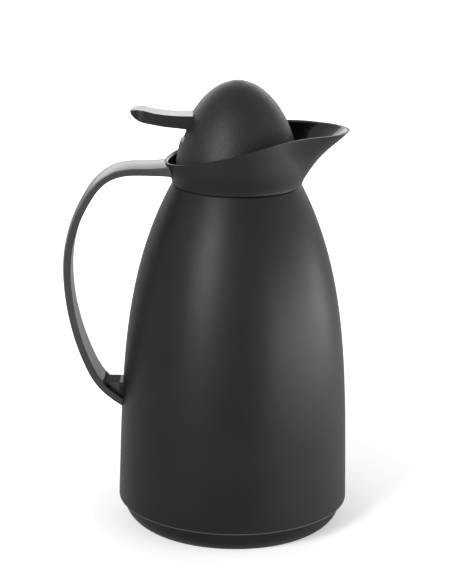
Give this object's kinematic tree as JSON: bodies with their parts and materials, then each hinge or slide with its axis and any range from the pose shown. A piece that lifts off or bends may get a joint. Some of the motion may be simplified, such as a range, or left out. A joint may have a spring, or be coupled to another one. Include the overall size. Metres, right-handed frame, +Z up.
{
  "type": "thermal carafe",
  "caption": "Thermal carafe: tapering insulated flask, flared pouring collar, strap handle and a screw-in domed stopper whose thumb lever lifts the pouring valve.",
  "frame": {"origin": "centre of the underside of the base, on the table", "axes": "+Z up along the flask's axis; the spout points along +X and the handle along -X; the XZ plane is the plane of symmetry"},
  "size_m": [0.1736, 0.14, 0.2698],
  "materials": {
    "shell_plastic": "matte charcoal, fine moulded grain",
    "collar_plastic": "matte charcoal outside, satin inside the spout",
    "handle_plastic": "satin charcoal",
    "dome_plastic": "matte charcoal with a coarser grain",
    "lever_plastic": "semi-gloss black",
    "inner_plastic": "satin black",
    "silvered_glass": "glass silvered on the vacuum side",
    "pad": "pressed mineral fibre",
    "rubber": "black rubber",
    "seal_rubber": "grey silicone",
    "steel": "bright zinc",
    "stem_steel": "turned stainless",
    "spring_steel": "drawn spring wire"
  },
  "bodies": {
    "flask": {"outer_body": "shell_plastic", "base_cap": "shell_plastic", "glass_outer": "silvered_glass", "glass_inner": "silvered_glass", "liner_spacers": "pad", "liner_cushion": "rubber", "neck_gasket": "rubber", "spout_collar": "collar_plastic", "collar_lock_ring": "inner_plastic", "handle": "handle_plastic", "collar_screw": "steel", "foot_screw": "steel"},
    "lid_seal": {"stopper_seal": "seal_rubber"},
    "lid": {"stopper_plug": "inner_plastic", "lever_carrier": "inner_plastic", "dome_cover": "dome_plastic", "lid_screws": "steel", "lever_pin": "steel", "return_spring": "spring_steel"},
    "lever": {"lever": "lever_plastic"},
    "valve": {"valve_stem": "stem_steel", "stem_pin": "steel", "valve_disc": "inner_plastic", "valve_seal": "seal_rubber", "valve_nut": "inner_plastic"}
  },
  "joints": [
    {"name": "lid_rise", "type": "slide", "parent": "flask", "child": "lid_seal", "axis": [0, 0, 1], "range_m": [0, 0.072]},
    {"name": "lid_turn", "type": "hinge", "parent": "lid_seal", "child": "lid", "pos_m": [0, 0, 0.2], "axis": [0, 0, 1], "range_deg": [0, 1081]},
    {"name": "lever_press", "type": "hinge", "parent": "lid", "child": "lever", "pos_m": [-0.015, 0, 0.246], "axis": [0, -1, 0], "range_deg": [0, 15.2], "stiffness_Nm_per_rad": 0.24, "springref_deg": -14.9},
    {"name": "valve_lift", "type": "slide", "parent": "lid", "child": "valve", "axis": [0, 0, 1], "range_m": [0, 0.00395], "deforming": ["return_spring"]}
  ],
  "couplings": [
    {"joint": "lid_turn", "follows": "lid_rise", "rad_per_m": 261.8},
    {"joint": "lever_press", "follows": "valve_lift", "rad_per_m": 66.269}
  ]
}
